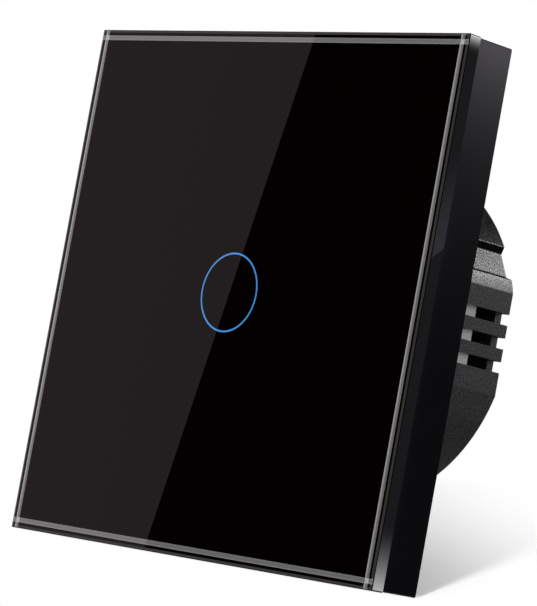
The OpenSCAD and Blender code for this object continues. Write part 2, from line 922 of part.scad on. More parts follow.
glass_panel();
mask_film();
adhesive_tape();
front_cover();
mounting_plate();
touch_board();
touch_spring();
light_guide();
light_shroud();
indicator_leds();
touch_chip();
board_header();
board_socket();
touch_board_screws();
rear_housing();
housing_screws();
power_board();
power_board_screws();
relay();
film_capacitor();
filter_capacitors();
transformer();
varistor();
fuse();
rectifier();
terminal_tabs();
terminal_pole(0);  // terminal_pole_1
terminal_pole(1);  // terminal_pole_2
terminal_pole(2);  // terminal_pole_3
terminal_cage(0);  // terminal_cage_1
terminal_cage(1);  // terminal_cage_2
terminal_cage(2);  // terminal_cage_3
terminal_screw(0);  // terminal_screw_1
terminal_screw(1);  // terminal_screw_2
terminal_screw(2);  // terminal_screw_3
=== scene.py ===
import json
import math

import bmesh
import bpy
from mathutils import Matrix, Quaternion, Vector


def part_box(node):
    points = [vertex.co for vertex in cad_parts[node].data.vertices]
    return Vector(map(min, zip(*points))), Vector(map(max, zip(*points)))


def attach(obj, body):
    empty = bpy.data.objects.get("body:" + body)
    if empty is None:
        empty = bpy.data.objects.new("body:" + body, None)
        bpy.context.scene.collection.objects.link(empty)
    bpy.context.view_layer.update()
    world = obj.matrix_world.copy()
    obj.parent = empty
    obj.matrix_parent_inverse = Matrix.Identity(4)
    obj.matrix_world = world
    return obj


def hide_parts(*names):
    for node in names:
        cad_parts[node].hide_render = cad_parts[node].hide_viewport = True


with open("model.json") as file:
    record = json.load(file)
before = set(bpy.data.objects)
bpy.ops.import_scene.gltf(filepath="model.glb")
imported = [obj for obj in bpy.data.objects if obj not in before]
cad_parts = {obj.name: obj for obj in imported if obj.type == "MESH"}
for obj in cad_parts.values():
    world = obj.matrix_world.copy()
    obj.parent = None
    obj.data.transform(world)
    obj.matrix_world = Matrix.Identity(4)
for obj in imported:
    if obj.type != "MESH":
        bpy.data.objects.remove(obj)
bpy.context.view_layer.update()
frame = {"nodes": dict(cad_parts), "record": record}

# Rear housing: the round cup that goes into the wall box, moulded in black plastic from a
# spark-eroded tool. Vent slots in its side flats show the relay, a keying groove runs along
# each side, and four screws through the mounting plate hold it.
mm = 0.001
record = frame["record"]
body_of = {node: body for body, nodes in record["behaviour"]["bodies"].items() for node in nodes}


class Socket:
    """One output of a node graph. Sums that are written with it become Math nodes."""

    def __init__(self, graph, link):
        self.graph = graph
        self.link = link

    def math(self, operation, *others):
        return self.graph.math(operation, self, *others)

    def __add__(self, other):
        return self.math("ADD", other)

    def __radd__(self, other):
        return self.math("ADD", other)

    def __sub__(self, other):
        return self.math("SUBTRACT", other)

    def __rsub__(self, other):
        return self.graph.math("SUBTRACT", other, self)

    def __mul__(self, other):
        return self.math("MULTIPLY", other)

    def __rmul__(self, other):
        return self.math("MULTIPLY", other)

    def __truediv__(self, other):
        return self.math("DIVIDE", other)

    def __rtruediv__(self, other):
        return self.graph.math("DIVIDE", other, self)

    def __pow__(self, other):
        return self.math("POWER", other)

    def __abs__(self):
        return self.math("ABSOLUTE")

    def __lt__(self, other):
        return self.math("LESS_THAN", other)

    def __gt__(self, other):
        return self.math("GREATER_THAN", other)


class Graph:
    """A node tree that is being built, for a material, the world or a shape."""

    def __init__(self, tree):
        self.tree = tree
        tree.nodes.clear()

    def node(self, kind, settings=None, sockets=None, out=0):
        """Add a node, set its settings, then the values or links of its sockets. Gives one output."""
        made = self.tree.nodes.new(kind)
        for name, value in (settings or {}).items():
            setattr(made, name, value)
        for key, value in (sockets or {}).items():
            for one in value if isinstance(value, list) else [value]:
                self.join(one, self.pick(made.inputs, key))
        return Socket(self, self.pick(made.outputs, out)) if made.outputs else None

    def math(self, operation, *values):
        return self.node("ShaderNodeMath", {"operation": operation}, dict(enumerate(values)))

    def pick(self, sockets, key):
        if isinstance(key, int):
            return sockets[key]
        return next(s for s in sockets if key in (s.identifier, s.name))

    def join(self, value, socket):
        if isinstance(value, Socket):
            self.tree.links.new(value.link, socket)
        else:
            socket.default_value = value


def shade(red, green, blue):
    """A colour as it shows on a screen, 0 to 255, in the linear values that a shader takes."""
    shares = [c / 255 for c in (red, green, blue)]
    return (*(c / 12.92 if c <= 0.04045 else ((c + 0.055) / 1.055) ** 2.4 for c in shares), 1.0)


class Finish(Graph):
    """A material whose colour and relief follow from where a point lies on its piece."""

    def __init__(self, name):
        self.material = bpy.data.materials.new(name)
        self.material.use_nodes = True
        super().__init__(self.material.node_tree)
        self.place = self.node("ShaderNodeTexCoord", out="Object")

    def axes(self):
        return [self.node("ShaderNodeSeparateXYZ", None, {0: self.place}, out=axis) for axis in "XYZ"]

    def noise(self, size, detail=2.0):
        sockets = {"Vector": self.place, "Scale": 1 / size, "Detail": detail}
        return self.node("ShaderNodeTexNoise", None, sockets, out=0)

    def step(self, value, low, high):
        """From 0 at low to 1 at high, with soft ends."""
        settings = {"interpolation_type": "SMOOTHSTEP"}
        return self.node("ShaderNodeMapRange", settings, {0: value, 1: low, 2: high})

    def blend(self, share, first, second):
        sockets = {"Factor_Float": share, "A_Color": first, "B_Color": second}
        return self.node("ShaderNodeMix", {"data_type": "RGBA"}, sockets, out="Result_Color")

    def bump(self, height, depth):
        sockets = {"Height": height, "Distance": depth, "Strength": 1.0}
        return self.node("ShaderNodeBump", None, sockets)

    def surface(self, sockets):
        shader = self.node("ShaderNodeBsdfPrincipled", None, sockets)
        self.node("ShaderNodeOutputMaterial", None, {"Surface": shader})
        return self.material


def plain(source, name):
    """Turn an object with its modifiers into a plain mesh object, and drop the source."""
    deps = bpy.context.evaluated_depsgraph_get()
    mesh = bpy.data.meshes.new_from_object(
        source.evaluated_get(deps), preserve_all_data_layers=True, depsgraph=deps)
    bpy.data.objects.remove(source)
    mesh.name = name
    piece = bpy.data.objects.new(name, mesh)
    bpy.context.scene.collection.objects.link(piece)
    return piece


weld = 0.001 * mm
flat_turn = 0.5
sharp_turn = 30


def round_edges(piece, edge, sharp, weighted=False):
    """Round the edges that turn by more than sharp degrees, or only those with a weight, edge wide."""
    bevel = piece.modifiers.new("rounded edges", "BEVEL")
    bevel.width = edge
    bevel.segments = 2
    bevel.limit_method = "WEIGHT" if weighted else "ANGLE"
    bevel.angle_limit = math.radians(sharp)
    bevel.harden_normals = True


def softened(node, edge, cutter=None, sharp=sharp_turn, inside=0.0):
    """A copy of a CAD node with its flat faces rejoined, cut if asked, and its edges rounded, edge wide.

    Edges that turn by more than sharp degrees are rounded, the others shade smoothly. Edges inside a
    given radius from the part's axis stay sharp, because small ones there would narrow all the others."""
    source = frame["nodes"][node].data
    shape = bmesh.new()
    corners = [shape.verts.new(v.co) for v in source.vertices]
    for face in source.polygons:
        shape.faces.new([corners[i] for i in face.vertices])
    bmesh.ops.remove_doubles(shape, verts=shape.verts, dist=weld)
    bmesh.ops.dissolve_limit(
        shape, angle_limit=math.radians(flat_turn), verts=shape.verts, edges=shape.edges)
    for face in shape.faces:
        face.smooth = True
    if inside:
        weight = shape.edges.layers.float.new("bevel_weight_edge")
        for line in shape.edges:
            outer = all(vert.co.xz.length > inside for vert in line.verts)
            turned = line.is_manifold and line.calc_face_angle() > math.radians(sharp)
            line[weight] = float(turned and outer)
            line.smooth = outer or not turned
    mesh = bpy.data.meshes.new(node)
    shape.to_mesh(mesh)
    shape.free()
    copy = bpy.data.objects.new(node + "_copy", mesh)
    bpy.context.scene.collection.objects.link(copy)
    if cutter:
        cut = copy.modifiers.new("recess", "BOOLEAN")
        cut.operation = "DIFFERENCE"
        cut.solver = "EXACT"
        cut.object = cutter
    round_edges(copy, edge, sharp, bool(inside))
    return plain(copy, "finished_" + node)


def settle(piece, node):
    """Let a piece stand for its CAD node: the node is hidden and the piece goes on the same body."""
    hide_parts(node)
    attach(piece, body_of[node])


def dress(node, material, edge, sharp=sharp_turn, inside=0.0):
    """Show a CAD node as a softened piece in a finish."""
    piece = softened(node, edge, None, sharp, inside)
    piece.data.materials.append(material)
    settle(piece, node)
    return piece


housing_edge = 0.12 * mm
housing_turn = 14
vents_r = 26.9 * mm
spark_size = 0.3 * mm
spark_depth = 0.0105 * mm
polish_size = 0.87 * spark_size
pit, peak = 0.4, 0.66
eroded = Finish("spark_eroded_black")
spark = eroded.noise(spark_size, 1.0)
glint = eroded.step(spark, pit, peak)
polish = eroded.step(eroded.noise(polish_size, 1.0), pit, peak)
housing = dress("rear_housing", eroded.surface({
    "Base Color": eroded.blend(glint, shade(2, 1, 2), shade(41, 40, 42)),
    "Roughness": 0.34 - polish * 0.1,
    "Normal": eroded.bump(spark, spark_depth),
}), edge=housing_edge, sharp=housing_turn, inside=vents_r)
# Painted shade: the groove's upper wall gets a darker, duller finish, so that it reads as lying in shade.
shaded = Finish("groove_wall_black")
shaded_grain = shaded.noise(spark_size)
housing.data.materials.append(shaded.surface({
    "Base Color": shaded.blend(shaded_grain, shade(2, 2, 2), shade(9, 8, 9)),
    "Roughness": 0.6 + shaded_grain * 0.2,
    "IOR": 1.1,
}))
groove_r = 27.2 * mm
wall_start, wall_end = 31.5, 35.5
wall_steep, wall_flat = -60, -12
for face in housing.data.polygons:
    turn = math.degrees(math.atan2(face.center.z, abs(face.center.x)))
    tilt = math.degrees(math.atan2(face.normal.z, abs(face.normal.x)))
    at_wall = wall_start < turn < wall_end and face.center.xz.length > groove_r
    if at_wall and wall_steep < tilt < wall_flat:
        face.material_index = 1

# Power board: the lower circuit board, glass fibre and epoxy under green solder resist.
# It lies on three posts in the housing and carries the relay, the supply and the terminals.
trace_pitch = 1.27 * mm
trace_patch = 7 * mm


def circuit_board(name):
    """Green solder resist over copper tracks that change direction from patch to patch."""
    finish = Finish(name)
    x, _, z = finish.axes()
    patch = finish.node("ShaderNodeVectorMath", {"operation": "SNAP"},
                        {0: finish.place, 1: (trace_patch,) * 3})
    way = finish.node("ShaderNodeTexWhiteNoise", None, {"Vector": patch}, out="Value") > 0.5
    along = way * x + (1 - way) * z
    ridge = abs((along / trace_pitch).math("FRACT") - 0.5)
    track = finish.step(ridge, 0.2, 0.26)
    cloth = finish.noise(0.4 * mm)
    resist = finish.blend(track, shade(22, 72, 44), shade(34, 98, 58))
    return finish.surface({
        "Base Color": finish.blend(cloth * 0.3, resist, shade(12, 50, 30)),
        "Roughness": 0.28 + cloth * 0.12,
        "Normal": finish.bump(track, 0.02 * mm),
    })


board_green = circuit_board("solder_resist_green")
dress("power_board", board_green, edge=0.1 * mm)


# Relay and film capacitor: two boxed parts that stand on the power board beside the vents.
# The relay's cap is light grey moulded plastic, the capacitor a yellow box cast full of resin.
def moulded(name, dark, light, roughness, grain, relief):
    """Plastic from a textured tool, a little cloudy, with teeth that are grain wide and relief deep."""
    finish = Finish(name)
    cloud = finish.noise(7 * mm, 3.0)
    tooth = finish.noise(grain, 2.0)
    return finish.surface({
        "Base Color": finish.blend(cloud * 0.6 + tooth * 0.4, dark, light),
        "Roughness": roughness + (tooth - 0.5) * 0.2,
        "Normal": finish.bump(tooth, relief),
    })


relay_grey = moulded("relay_cap_grey", shade(232, 232, 234), shade(244, 244, 246),
                     roughness=0.42, grain=0.5 * mm, relief=0.006 * mm)
dress("relay", relay_grey, edge=0.35 * mm)
capacitor_yellow = moulded("resin_box_yellow", shade(196, 158, 28), shade(214, 178, 40),
                           roughness=0.4, grain=0.6 * mm, relief=0.008 * mm)
dress("film_capacitor", capacitor_yellow, edge=0.25 * mm)

# Filter capacitors: two aluminium cans in shrunk dark sleeves, with a rolled groove near the
# board and a bare pressed end.
can_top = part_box("filter_capacitors")[1].y
sleeve_end = can_top - 1.3 * mm
sleeve = Finish("can_sleeve_dark")
bare = sleeve.step(sleeve.axes()[1], sleeve_end, sleeve_end + 0.1 * mm)
sleeve_grain = sleeve.noise(0.5 * mm)
dress("filter_capacitors", sleeve.surface({
    "Base Color": sleeve.blend(bare, shade(34, 36, 60), shade(190, 190, 194)),
    "Metallic": bare,
    "Roughness": 0.3 + sleeve_grain * 0.15,
    "Normal": sleeve.bump(sleeve_grain, 0.01 * mm),
}), edge=0.2 * mm)

# Transformer: a ferrite core closed round a wound bobbin, glued and varnished. The windings
# lie under yellow tape, and the bobbin's foot stands on the board.
core_low, core_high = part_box("transformer")
ferrite = Finish("ferrite_and_tape")
core_x, _, core_z = ferrite.axes()
winding_r = 3.9 * mm
core_mid = (core_low.z + core_high.z) / 2
from_middle = (core_x * core_x + (core_z - core_mid) * (core_z - core_mid)) ** 0.5
taped = ferrite.step(from_middle, winding_r + 0.05 * mm, winding_r)
ferrite_grain = ferrite.noise(0.25 * mm, 3.0)
dress("transformer", ferrite.surface({
    "Base Color": ferrite.blend(taped, ferrite.blend(ferrite_grain, shade(42, 42, 46), shade(66, 66, 70)),
                                shade(206, 170, 40)),
    "Roughness": 0.5 + ferrite_grain * 0.2 - taped * 0.25,
    "Normal": ferrite.bump(ferrite_grain, 0.02 * mm),
}), edge=0.15 * mm)

# Varistor, fuse and rectifier: the mains side's small parts. A disc dipped in blue lacquer, a
# brown moulded fuse and a black bridge in its moulded package.
small_parts = {
    "varistor": moulded("dipped_blue", shade(24, 66, 132), shade(34, 84, 158),
                        roughness=0.3, grain=0.8 * mm, relief=0.03 * mm),
    "fuse": moulded("fuse_brown", shade(70, 34, 24), shade(86, 46, 34),
                    roughness=0.4, grain=0.5 * mm, relief=0.01 * mm),
    "rectifier": moulded("package_black", shade(26, 26, 28), shade(38, 38, 40),
                         roughness=0.55, grain=0.2 * mm, relief=0.01 * mm),
}
for part, material in small_parts.items():
    dress(part, material, edge=0.12 * mm)

# Terminal poles: three moulded blocks in a row at the housing's foot. Each has a wire entry
# below and a round recess at the rear through which its screw is turned.
pole_numbers = (1, 2, 3)
pole_black = moulded("terminal_block_black", shade(36, 36, 38), shade(50, 50, 52),
                     roughness=0.5, grain=0.3 * mm, relief=0.015 * mm)
for i in pole_numbers:
    dress(f"terminal_pole_{i}", pole_black, edge=0.15 * mm)


# Tabs and rising clamps: bent and punched brass, tin-flashed where it is soldered. The
# clamp is a ring round the tab that the screw pulls towards its head.
def drawn_metal(name, dark, light, roughness):
    """Metal with faint drawing marks along the wall's normal and a little tarnish."""
    finish = Finish(name)
    stretched = finish.node("ShaderNodeMapping", None, {"Vector": finish.place, "Scale": (1, 0.08, 1)})
    marks = finish.node("ShaderNodeTexNoise", None, {"Vector": stretched, "Scale": 1 / (0.12 * mm)})
    cloud = finish.noise(2.5 * mm, 3.0)
    return finish.surface({
        "Base Color": finish.blend(cloud, dark, light),
        "Metallic": 1.0,
        "Roughness": roughness + (marks - 0.5) * 0.16 + (cloud - 0.5) * 0.1,
        "Normal": finish.bump(marks, 0.004 * mm),
    })


brass = drawn_metal("terminal_brass", shade(196, 158, 84), shade(220, 184, 110), roughness=0.3)
dress("terminal_tabs", brass, edge=0.08 * mm)
for i in pole_numbers:
    dress(f"terminal_cage_{i}", brass, edge=0.1 * mm)

# Terminal screws: zinc-plated steel with slotted heads, turned from the rear. Each stays in
# its pole while its clamp climbs the thread.
zinc = drawn_metal("zinc_plate", shade(176, 178, 178), shade(206, 206, 202), roughness=0.34)
for i in pole_numbers:
    dress(f"terminal_screw_{i}", zinc, edge=0.12 * mm)


# Power board screws: three zinc-plated pan heads with a cross recess that hold the lower
# board on its posts.
def shape_tree(name, sizes):
    """A new tree with points, some sizes and a material as its inputs, and those inputs by name."""
    tree = bpy.data.node_groups.new(name, "GeometryNodeTree")
    graph = Graph(tree)
    tree.interface.new_socket("Geometry", in_out="INPUT", socket_type="NodeSocketGeometry")
    for size in sizes:
        tree.interface.new_socket(size, in_out="INPUT", socket_type="NodeSocketFloat")
    tree.interface.new_socket("Material", in_out="INPUT", socket_type="NodeSocketMaterial")
    tree.interface.new_socket("Geometry", in_out="OUTPUT", socket_type="NodeSocketGeometry")
    entry = tree.nodes.new("NodeGroupInput")
    return graph, {s.name: Socket(graph, s) for s in entry.outputs if s.name}


def on_each_point(graph, given, shape):
    """End a tree: the shape stands on each given point, in the given material."""
    copies = graph.node("GeometryNodeInstanceOnPoints", None, {
        "Points": given["Geometry"], "Instance": shape})
    real = graph.node("GeometryNodeRealizeInstances", None, {"Geometry": copies})
    coated = graph.node("GeometryNodeSetMaterial", None, {"Geometry": real, "Material": given["Material"]})
    graph.node("NodeGroupOutput", None, {"Geometry": coated})
    return graph.tree


def screw_tree():
    """A set of cross-recessed screws along Y, one on each point: heads to the front."""
    sizes = ("Head Radius", "Neck Radius", "Head Depth", "Shank Radius", "Shank Length", "Recess Depth")
    graph, given = shape_tree("cross_recessed_screws", sizes)
    head_r, neck_r, head_t, shank_r, shank_l, recess_t = (given[size] for size in sizes)

    def placed(mesh, height):
        drop = graph.node("ShaderNodeCombineXYZ", None, {"Z": height})
        return graph.node("GeometryNodeTransform", None, {"Geometry": mesh, "Translation": drop})

    head = graph.node("GeometryNodeMeshCone", None, {
        "Vertices": 48, "Radius Top": neck_r, "Radius Bottom": head_r, "Depth": head_t}, out="Mesh")
    shank = graph.node("GeometryNodeMeshCylinder", None, {
        "Vertices": 32, "Radius": shank_r, "Depth": shank_l}, out="Mesh")
    body = graph.node("GeometryNodeMeshBoolean", {"operation": "UNION", "solver": "EXACT"},
                      {"Mesh 2": [head, placed(shank, shank_l / 2)]}, out="Mesh")
    wing = head_r * 1.15
    blade = head_r * 0.26
    recess_turn = 0.4
    bars = []
    for across, upright in ((wing, blade), (blade, wing)):
        size = graph.node("ShaderNodeCombineXYZ", None, {"X": across, "Y": upright, "Z": recess_t * 2})
        bars.append(graph.node("GeometryNodeMeshCube", None, {"Size": size}, out="Mesh"))
    crossed = graph.node("GeometryNodeMeshBoolean", {"operation": "DIFFERENCE", "solver": "EXACT"},
                         {"Mesh 1": body, "Mesh 2": bars}, out="Mesh")
    turned = graph.node("GeometryNodeTransform", None, {
        "Geometry": crossed, "Rotation": (-math.pi / 2, recess_turn, 0)})
    return on_each_point(graph, given, turned)


def grown(name, tree, sizes, points, edge=0.0):
    """Run a shape tree on some points and keep the result as a plain mesh, its edges rounded."""
    seed = bpy.data.objects.new(name + "_seed", bpy.data.meshes.new(name + "_seed"))
    seed.data.from_pydata(points, [], [])
    bpy.context.scene.collection.objects.link(seed)
    modifier = seed.modifiers.new(name, "NODES")
    modifier.node_group = tree
    for item in tree.interface.items_tree:
        if item.in_out == "INPUT" and item.name in sizes:
            modifier[item.identifier] = sizes[item.name]
    if edge:
        round_edges(seed, edge, sharp_turn)
    return plain(seed, name)


def solid_centres(node):
    """The middle of each separate solid of a CAD node, in X and Z, and the node's first Y."""
    shape = bmesh.new()
    shape.from_mesh(frame["nodes"][node].data)
    bmesh.ops.remove_doubles(shape, verts=shape.verts, dist=weld)
    left = set(shape.verts)
    centres = []
    while left:
        solid = set()
        ahead = [left.pop()]
        while ahead:
            vert = ahead.pop()
            solid.add(vert)
            for edge in vert.link_edges:
                other = edge.other_vert(vert)
                if other in left:
                    left.remove(other)
                    ahead.append(other)
        spans = [[v.co[axis] for v in solid] for axis in (0, 1, 2)]
        centres.append(tuple((min(s) + max(s)) / 2 for s in spans))
    shape.free()
    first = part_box(node)[0].y
    return sorted((round(x, 6), first, round(z, 6)) for x, _, z in centres)


cross_screws = screw_tree()
screw_edge = 0.05 * mm
recess_share = 0.6


def screw_set(node, head_r, neck_r, head_t, shank_r):
    """Cross-recessed screws where a CAD node has its plain ones."""
    low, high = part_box(node)
    sizes = {"Head Radius": head_r, "Neck Radius": neck_r, "Head Depth": head_t, "Shank Radius": shank_r,
             "Shank Length": high.y - low.y, "Recess Depth": head_t * recess_share, "Material": zinc}
    settle(grown("finished_" + node, cross_screws, sizes, solid_centres(node), screw_edge), node)


screw_set("power_board_screws", head_r=1.9 * mm, neck_r=1.75 * mm, head_t=1.2 * mm, shank_r=0.95 * mm)

# Mounting plate: a black moulded frame that lies on the wall box, with a rim, ribs beside the
# fixing slots and windows for the cover's snap hooks.
plate_black = moulded("plate_black", shade(30, 30, 32), shade(42, 42, 44),
                      roughness=0.45, grain=0.4 * mm, relief=0.012 * mm)
dress("mounting_plate", plate_black, edge=0.12 * mm)

# Housing screws: four countersunk screws, flush with the plate's front, that pull the housing
# up against the plate from the front.
screw_set("housing_screws", head_r=2.4 * mm, neck_r=1.0 * mm, head_t=1.2 * mm, shank_r=1.0 * mm)

# Touch board: the upper circuit board, which senses a finger through the glass. It lies on pads
# of the mounting plate and plugs into the power board behind it.
dress("touch_board", board_green, edge=0.08 * mm)
package_black = small_parts["rectifier"]
for part in ("touch_chip", "board_header", "board_socket"):
    dress(part, package_black, edge=0.06 * mm)

# Touch board screws: two small pan heads of zinc-plated steel, with a cross recess, that go
# through the board into the plate's bosses.
screw_set("touch_board_screws", head_r=1.6 * mm, neck_r=1.45 * mm, head_t=0.8 * mm, shank_r=0.8 * mm)

# Indicator lights, light guide and shroud: four small lights under a clear ring that carries
# their blue glow to the glass, inside a black tube that keeps it off the rest.
led = Finish("led_package")
led_grain = led.noise(0.3 * mm)
dress("indicator_leds", led.surface({
    "Base Color": led.blend(led_grain, shade(236, 226, 170), shade(246, 240, 214)),
    "Roughness": 0.35 + led_grain * 0.1,
    "Emission Color": led.blend(led_grain, shade(20, 60, 120), shade(40, 100, 190)),
    "Emission Strength": 0.5,
}), edge=0.06 * mm)
guide = Finish("guide_clear")
guide_cloud = guide.noise(1.2 * mm)
dress("light_guide", guide.surface({
    "Base Color": guide.blend(guide_cloud, shade(176, 206, 232), shade(206, 226, 242)),
    "Roughness": 0.12 + guide_cloud * 0.12,
    "Emission Color": guide.blend(guide_cloud, shade(26, 84, 160), shade(48, 122, 206)),
    "Emission Strength": 0.45,
}), edge=0.08 * mm)
shroud_black = moulded("shroud_black", shade(22, 22, 24), shade(32, 32, 34),
                       roughness=0.6, grain=0.25 * mm, relief=0.01 * mm)
dress("light_shroud", shroud_black, edge=0.08 * mm)


# Touch spring: the sensing electrode, a coil of plated spring wire that is soldered to the
# board and presses on the film behind the glass.
def coil_tree():
    """A wound wire along Y, from the point that it is given, with closed ends."""
    graph, given = shape_tree("wound_wire", ("Turns", "Radius", "Height", "Wire Radius"))
    path = graph.node("GeometryNodeCurveSpiral", None, {
        "Resolution": 40, "Rotations": given["Turns"], "Start Radius": given["Radius"],
        "End Radius": given["Radius"], "Height": given["Height"]})
    ring = graph.node("GeometryNodeCurvePrimitiveCircle", None, {
        "Resolution": 16, "Radius": given["Wire Radius"]}, out="Curve")
    wire = graph.node("GeometryNodeCurveToMesh", None, {
        "Curve": path, "Profile Curve": ring, "Fill Caps": True})
    turned = graph.node("GeometryNodeTransform", None, {
        "Geometry": wire, "Rotation": (math.pi / 2, 0, 0)})
    return on_each_point(graph, given, turned)


wire_r = 0.25 * mm
spring_low, spring_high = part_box("touch_spring")
spring_plate = drawn_metal("spring_plate", shade(196, 186, 150), shade(216, 208, 176), roughness=0.25)
touch_spring = grown("finished_touch_spring", coil_tree(), {
    "Turns": 2.0, "Radius": (spring_high.x - spring_low.x) / 2 - wire_r, "Wire Radius": wire_r,
    "Height": spring_high.y - spring_low.y - 2 * wire_r, "Material": spring_plate,
}, [(0, spring_high.y - wire_r, 0)])
settle(touch_spring, "touch_spring")

# Front cover: the tray that the glass is glued into, moulded in black plastic with a polished side.
# Four hooks inside it snap into the mounting plate.
cover = Finish("cover_polished_black")
cover_cloud = cover.noise(9 * mm, 3.0)
dress("front_cover", cover.surface({
    "Base Color": cover.blend(cover_cloud, shade(5, 4, 6), shade(7, 6, 8)),
    "Roughness": 0.045 + cover_cloud * 0.02,
}), edge=0.03 * mm)


# Tape and mask film: foam tape, white and soft, and a black printed film behind the glass that
# leaves only the ring clear. The tape glues the film and the glass to the cover.
def coat(node, material):
    """Show a CAD node as it is, in a finish."""
    mesh = frame["nodes"][node].data
    mesh.materials.clear()
    mesh.materials.append(material)


tape = Finish("foam_tape_white")
tape_cells = tape.noise(0.15 * mm)
coat("adhesive_tape", tape.surface({
    "Base Color": tape.blend(tape_cells, shade(206, 206, 200), shade(226, 226, 220)),
    "Roughness": 0.75 + tape_cells * 0.1,
    "Normal": tape.bump(tape_cells, 0.02 * mm),
}))
film = Finish("mask_print_black")
film_cloud = film.noise(1.5 * mm, 3.0)
coat("mask_film", film.surface({
    "Base Color": film.blend(film_cloud, shade(14, 14, 15), shade(24, 24, 26)),
    "Roughness": 0.4 + film_cloud * 0.12,
}))

# Glass panel: tempered glass, black behind, with a narrow polished bevel along its front edges.
# Four ground lines run close to the edges and cross at the corners, painted lighter on one wall
# as if lit. The side edges are painted lighter towards their ends, a painted highlight.
glass_low, glass_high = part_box("glass_panel")
front = glass_low.y
half = glass_high.x
line_far = half - 1.0 * mm
line_near = line_far - 0.8 * mm
line_t = 0.08 * mm
glass_edge = 0.02 * mm
glass_turn = 8
top_reach = 3 * mm
foot_reach = 11 * mm
ring_r = 6.36 * mm
ring_w = 0.26 * mm
ring_t = 0.06 * mm
ring_fit = 0.02 * mm
ring_steps = 160


def ring_solid(name, width, near, far):
    """A flat ring about the Y axis, from near to far."""
    shape = bmesh.new()
    inner, outer = ring_r - width / 2, ring_r + width / 2
    profile = [(inner, near), (outer, near), (outer, far), (inner, far)]
    turns = [2 * math.pi * i / ring_steps for i in range(ring_steps)]
    rows = [[shape.verts.new((r * math.cos(a), y, r * math.sin(a))) for r, y in profile] for a in turns]
    for i, row in enumerate(rows):
        after = rows[(i + 1) % ring_steps]
        for k in range(4):
            j = (k + 1) % 4
            shape.faces.new((row[k], row[j], after[j], after[k]))
    bmesh.ops.recalc_face_normals(shape, faces=shape.faces)
    mesh = bpy.data.meshes.new(name)
    shape.to_mesh(mesh)
    shape.free()
    piece = bpy.data.objects.new(name, mesh)
    bpy.context.scene.collection.objects.link(piece)
    return piece


black_glass = Finish("black_glass")
glass_x, _, glass_z = black_glass.axes()
smear = black_glass.noise(26 * mm, 3.0)
on_side = abs(glass_x) > half - glass_edge
# Painted highlight: the side edges are painted lighter towards their top and foot ends.
top_painted_highlight = ((glass_z - half + top_reach) / top_reach).math("MAXIMUM", 0.0) ** 3.0
foot_painted_highlight = ((-half + foot_reach - glass_z) / foot_reach).math("MAXIMUM", 0.0) ** 2.7
black_glass.surface({
    "Base Color": black_glass.blend(on_side * (top_painted_highlight * 0.95 + foot_painted_highlight * 0.68),
                                    shade(4, 1, 1), shade(222, 221, 225)),
    "Roughness": 0.003 + smear * 0.002,
    "IOR": 1.5,
})
polished = Finish("polished_bevel")
polish_cloud = polished.noise(4 * mm)
polished.surface({
    "Base Color": polished.blend(polish_cloud, shade(24, 17, 10), shade(30, 23, 16)),
    "Roughness": 0.05 + polish_cloud * 0.05,
    "IOR": 1.36,
})
broken = Finish("broken_edge")
broken_grain = broken.noise(0.2 * mm)
broken.surface({
    "Base Color": broken.blend(broken_grain, shade(2, 2, 2), shade(7, 6, 6)),
    "Roughness": 0.6 + broken_grain * 0.2,
    "IOR": 1.05,
})
ground = Finish("ground_line")
ground_x, _, ground_z = ground.axes()
ground_grain = ground.noise(0.12 * mm, 3.0)
upright, level = [(abs(c) > line_near) * (abs(c) < line_far) for c in (ground_x, ground_z)]
crossing = upright * level
across = (ground_x + line_far).math("WRAP", line_far + line_near, 0.0) / (line_far - line_near)
off_middle = abs(abs(ground_z) * 2 - (line_far + line_near)) / (line_far - line_near)
# Painted light: one wall of each upright line and the edges of each level line are painted lighter, as if
# lit.
painted_lit_wall = upright * ground.step(across, 0.5, 0.1) + level * ground.step(off_middle, 0.3, 1.0) * 0.38
frost_and_painted_light = ground.blend(ground_grain * 0.3 + painted_lit_wall * 0.7, shade(86, 85, 86), shade(176, 174, 175))
ground.surface({
    "Base Color": ground.blend(crossing, frost_and_painted_light, shade(188, 187, 188)),
    "Roughness": 0.5 + ground_grain * 0.2,
    "Normal": ground.bump(ground_grain, 0.01 * mm),
    "Coat Weight": 1.0,
    "Coat Roughness": 0.02,
    "Coat IOR": 2.5,
})

cutter = ring_solid("ring_cutter", ring_w + ring_fit, front - mm, front + ring_t)
glass = softened("glass_panel", glass_edge, cutter, glass_turn)
bpy.data.objects.remove(cutter)
glass_finishes = [black_glass, polished, ground, broken]
for finish in glass_finishes:
    glass.data.materials.append(finish.material)
shallowest = 0.03 * mm
deepest = line_t + 0.01 * mm
rim_start = line_near - 0.1 * mm
bevel_lean, bevel_flat = -0.93, -0.99
broken_lean, broken_flat = -0.3, -0.9
for face in glass.data.polygons:
    spots = [glass.data.vertices[i].co for i in face.vertices]
    depth = max(p.y for p in spots) - front
    at_rim = min(max(abs(p.x), abs(p.z)) for p in spots) > rim_start
    if at_rim and shallowest < depth < deepest:
        face.material_index = glass_finishes.index(ground)
    elif at_rim and bevel_flat < face.normal.y < bevel_lean:
        face.material_index = glass_finishes.index(polished)
    elif at_rim and broken_flat < face.normal.y < broken_lean:
        face.material_index = glass_finishes.index(broken)
glass.data.attributes.remove(glass.data.attributes["custom_normal"])
glass.data.shade_flat()
settle(glass, "glass_panel")

